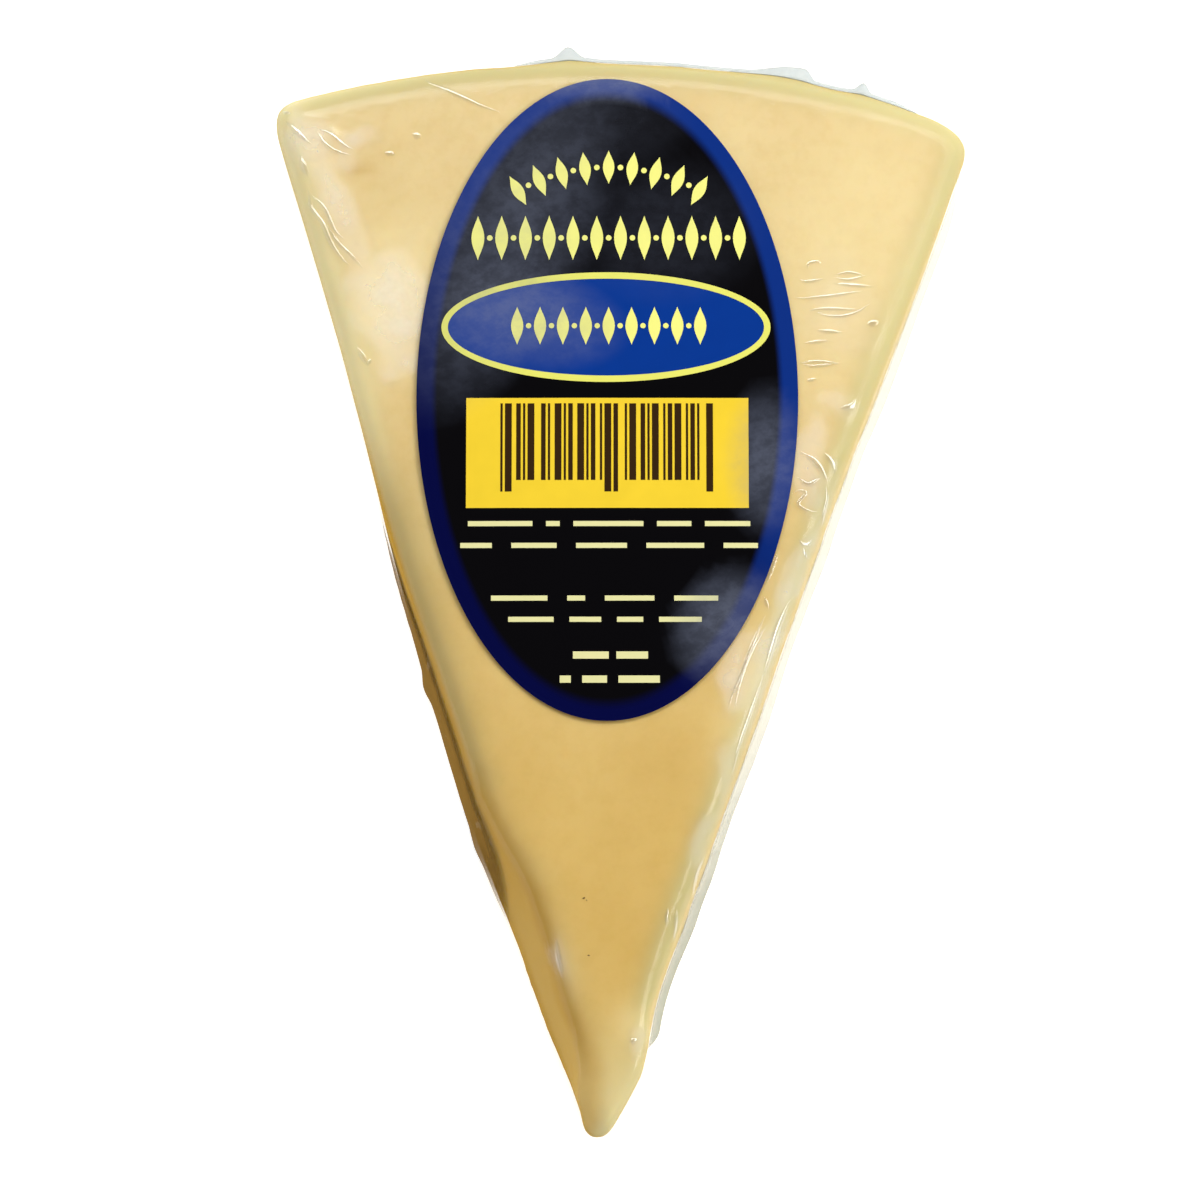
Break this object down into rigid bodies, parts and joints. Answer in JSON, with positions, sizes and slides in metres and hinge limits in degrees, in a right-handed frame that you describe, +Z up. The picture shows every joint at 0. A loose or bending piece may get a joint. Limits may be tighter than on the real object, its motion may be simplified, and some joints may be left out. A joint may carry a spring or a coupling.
{
  "type": "film-wrapped cheese wedge",
  "caption": "Wedge of hard yellow cheese sealed tight in clear wrinkled film, lying flat, with an oval printed paper label on its upper cut face.",
  "frame": {"origin": "middle of the resting face's box, on the surface that the pack lies on", "axes": "+Z up through the label, +Y from the tip to the rind, +X to the right of the label as it is read"},
  "size_m": [0.1032, 0.1608, 0.024],
  "materials": {
    "cheese": "pale straw-yellow hard cheese under tight glossy clear film",
    "film": "clear heat-sealed film with fine wrinkles",
    "label": "coated paper printed dark blue and black with yellow shapes, satin gloss"
  },
  "bodies": {
    "root": {"film_wrapped_wedge": "cheese", "label": "label"}
  },
  "joints": []
}
